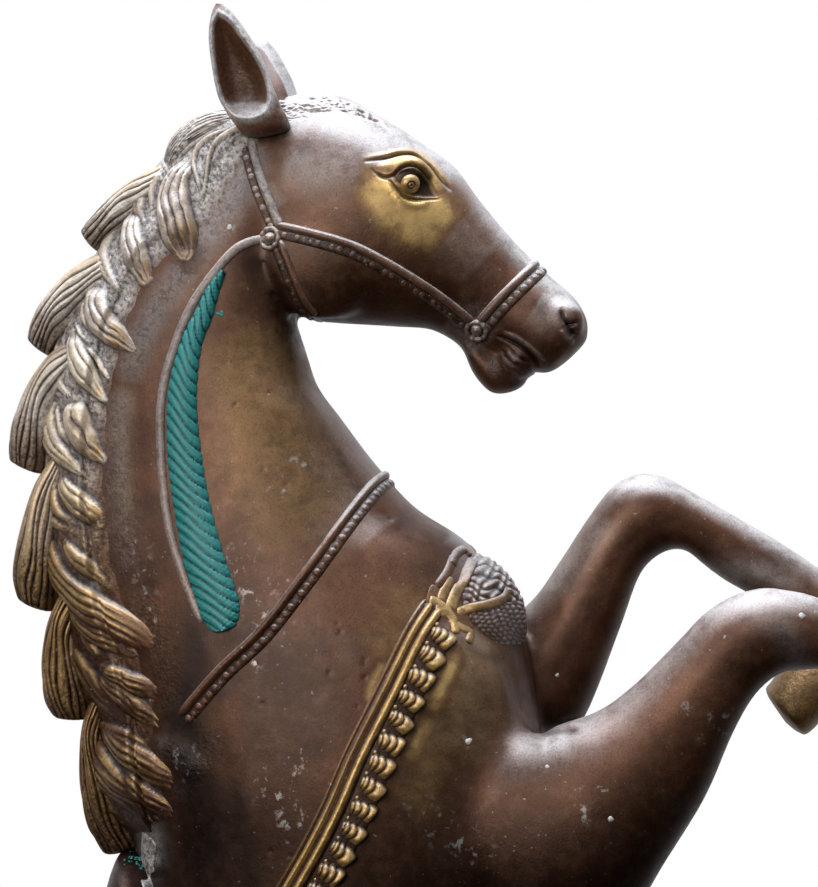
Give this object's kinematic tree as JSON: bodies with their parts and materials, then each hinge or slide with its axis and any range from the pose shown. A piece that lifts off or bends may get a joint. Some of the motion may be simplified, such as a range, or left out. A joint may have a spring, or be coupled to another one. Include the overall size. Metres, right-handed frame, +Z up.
{
  "type": "rearing horse statue on a plinth",
  "caption": "Brown patinated brass statue of a bridled, saddled horse rearing on its hind legs, cast with its curled mane and trappings, on a low rounded plinth.",
  "frame": {"origin": "centre of the underside of the plinth", "axes": "+X is the way the horse faces, +Y is its left side, +Z is up"},
  "size_m": [0.5703, 0.176, 0.9556],
  "materials": {
    "patinated_brass": "brown chemical patina, waxed, rubbed to gold on the mane, bands and hooves, with teal paint on the tassel",
    "plinth_brass": "brown chemical patina, waxed, worn on its edges"
  },
  "bodies": {
    "root": {"rearing_horse": "patinated_brass", "base": "plinth_brass"}
  },
  "joints": []
}
